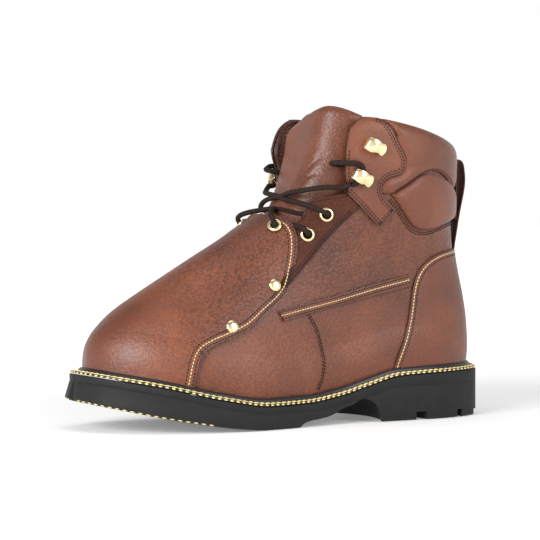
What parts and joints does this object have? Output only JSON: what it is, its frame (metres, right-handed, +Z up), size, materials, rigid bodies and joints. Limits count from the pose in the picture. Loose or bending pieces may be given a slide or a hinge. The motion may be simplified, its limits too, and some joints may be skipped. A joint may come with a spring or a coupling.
{
  "type": "metatarsal guard boot",
  "caption": "Ankle-high laced work boot for the left foot, with a stiff guard over toe and instep, padded collar, hooks and a lugged rubber sole.",
  "frame": {"origin": "centre of the heel's resting face, on the floor, 40 mm forward of the rear of the sole's datum", "axes": "+Z up from the floor, -Y towards the toe, +X towards the outer (lateral) side of this left boot"},
  "size_m": [0.1165, 0.3158, 0.2225],
  "materials": {
    "brown_leather": "oiled full grain",
    "black_rubber": "matt",
    "brass": "bright",
    "brown_lace": "round braid",
    "lining": "brushed"
  },
  "bodies": {
    "root": {"ankle_pad": "brown_leather", "collar_cuff": "brown_leather", "eyelet_lateral_1": "brass", "eyelet_lateral_2": "brass", "eyelet_medial_1": "brass", "eyelet_medial_2": "brass", "eyestay_lateral": "brown_leather", "eyestay_medial": "brown_leather", "guard": "brown_leather", "guard_eyelet_lateral": "brass", "guard_eyelet_medial": "brass", "heel_counter": "brown_leather", "hook_lateral_1": "brass", "hook_lateral_2": "brass", "hook_medial_1": "brass", "hook_medial_2": "brass", "hook_panel_lateral": "brown_leather", "hook_panel_medial": "brown_leather", "insole": "lining", "lace_end_lateral": "brown_lace", "lace_end_medial": "brown_lace", "lace_low_lateral": "brown_lace", "lace_low_medial": "brown_lace", "lace_middle": "brown_lace", "lace_upper": "brown_lace", "midsole": "black_rubber", "outsole": "black_rubber", "pull_loop": "brown_leather", "rivet_lateral_1": "brass", "rivet_lateral_2": "brass", "rivet_medial_1": "brass", "rivet_medial_2": "brass", "side_strip_lateral": "brown_leather", "side_strip_medial": "brown_leather", "tongue": "brown_leather", "upper": "brown_leather", "welt": "black_rubber"}
  },
  "joints": []
}
